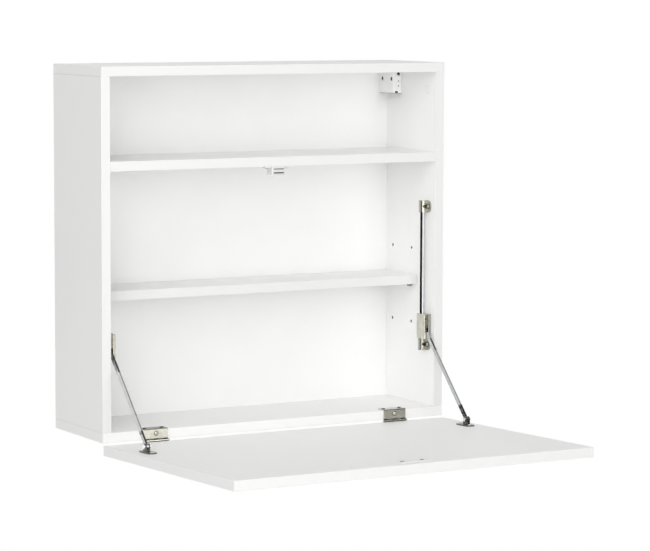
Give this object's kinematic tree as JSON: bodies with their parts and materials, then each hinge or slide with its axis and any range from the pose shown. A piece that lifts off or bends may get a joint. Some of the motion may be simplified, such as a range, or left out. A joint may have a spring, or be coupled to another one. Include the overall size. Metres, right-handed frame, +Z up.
{
  "type": "fold down wall desk",
  "caption": "Shallow white wall cabinet whose lower front folds down on sliding stays as a desk top, with an open top compartment, an adjustable inner shelf and a magnetic catch.",
  "frame": {"origin": "centre of the pattern of wall screws, in the plane of the wall", "axes": "+X to the right as seen by someone facing the desk, +Y into the wall, +Z up"},
  "size_m": [0.6, 0.5981, 0.5842],
  "materials": {
    "white_board": "satin white melamine with matching edge band",
    "white_back": "satin white lacquered hardboard",
    "dowel_wood": "fluted beech",
    "zinc": "zinc die casting",
    "white_plastic": "moulded white plastic",
    "shoe_plastic": "dark acetal",
    "magnet": "dark ferrite",
    "chrome": "polished chrome",
    "zinc_steel": "bright zinc plating",
    "nickel": "satin nickel plating",
    "white_enamel": "white stove enamel",
    "dark_steel": "blackened steel"
  },
  "bodies": {
    "root": {"adjustable_shelf": "white_board", "back_panel": "white_back", "bottom_panel": "white_board", "bottom_screws": "zinc_steel", "cam_bolts": "zinc_steel", "cam_caps": "white_plastic", "cam_locks": "zinc", "catch_housing": "white_plastic", "catch_magnet": "magnet", "catch_pole_plates": "dark_steel", "catch_screws": "zinc_steel", "dowels": "dowel_wood", "fixed_shelf": "white_board", "hanger_hook_left": "zinc_steel", "hanger_hook_right": "zinc_steel", "hanger_housing_left": "white_plastic", "hanger_housing_right": "white_plastic", "hanger_screws": "zinc_steel", "hinge_cabinet_leaf_left": "nickel", "hinge_cabinet_leaf_right": "nickel", "hinge_cabinet_screws": "nickel", "hinge_pins": "nickel", "left_side_panel": "white_board", "right_side_panel": "white_board", "shelf_pins": "nickel", "stay_bottom_bracket_left": "nickel", "stay_bottom_bracket_right": "nickel", "stay_bracket_screws": "nickel", "stay_rod_left": "chrome", "stay_rod_right": "chrome", "stay_top_bracket_left": "nickel", "stay_top_bracket_right": "nickel", "top_panel": "white_board", "wall_plate_left": "zinc_steel", "wall_plate_right": "zinc_steel"},
    "flap": {"flap_board": "white_board", "hinge_flap_leaf_left": "nickel", "hinge_flap_leaf_right": "nickel", "hinge_flap_screws": "nickel", "keeper_plate": "white_enamel", "keeper_screws": "nickel", "stay_flap_bracket_left": "nickel", "stay_flap_bracket_right": "nickel", "stay_flap_rivets": "nickel", "stay_flap_screws": "nickel"},
    "slider_left": {"slider_brake_screw_left": "nickel", "slider_brake_shoe_left": "shoe_plastic", "slider_housing_left": "nickel", "slider_rivet_left": "nickel"},
    "slider_right": {"slider_brake_screw_right": "nickel", "slider_brake_shoe_right": "shoe_plastic", "slider_housing_right": "nickel", "slider_rivet_right": "nickel"},
    "strut_left": {"strut_left": "chrome", "strut_top_pin_left": "nickel"},
    "strut_right": {"strut_right": "chrome", "strut_top_pin_right": "nickel"}
  },
  "joints": [
    {"name": "flap_hinge", "type": "hinge", "parent": "root", "child": "flap", "pos_m": [0, -0.1755, -0.5259], "axis": [-1, 0, 0], "range_deg": [0, 88.3]},
    {"name": "strut_turn_left", "type": "hinge", "parent": "flap", "child": "strut_left", "pos_m": [-0.2787, -0.28081, -0.51457], "axis": [-1, 0, 0], "range_deg": [-129.9, 0]},
    {"name": "slider_travel_left", "type": "slide", "parent": "root", "child": "slider_left", "axis": [0, 0, 1], "range_m": [0, 0.145]},
    {"name": "strut_turn_right", "type": "hinge", "parent": "flap", "child": "strut_right", "pos_m": [0.2787, -0.28081, -0.51457], "axis": [-1, 0, 0], "range_deg": [-129.9, 0]},
    {"name": "slider_travel_right", "type": "slide", "parent": "root", "child": "slider_right", "axis": [0, 0, 1], "range_m": [0, 0.145]}
  ],
  "couplings": [
    {"joint": "strut_turn_left", "follows": "flap_hinge", "ratio": -1.4649},
    {"joint": "slider_travel_left", "follows": "flap_hinge", "m_per_rad": 0.093749},
    {"joint": "strut_turn_right", "follows": "flap_hinge", "ratio": -1.4649},
    {"joint": "slider_travel_right", "follows": "flap_hinge", "m_per_rad": 0.093749}
  ]
}
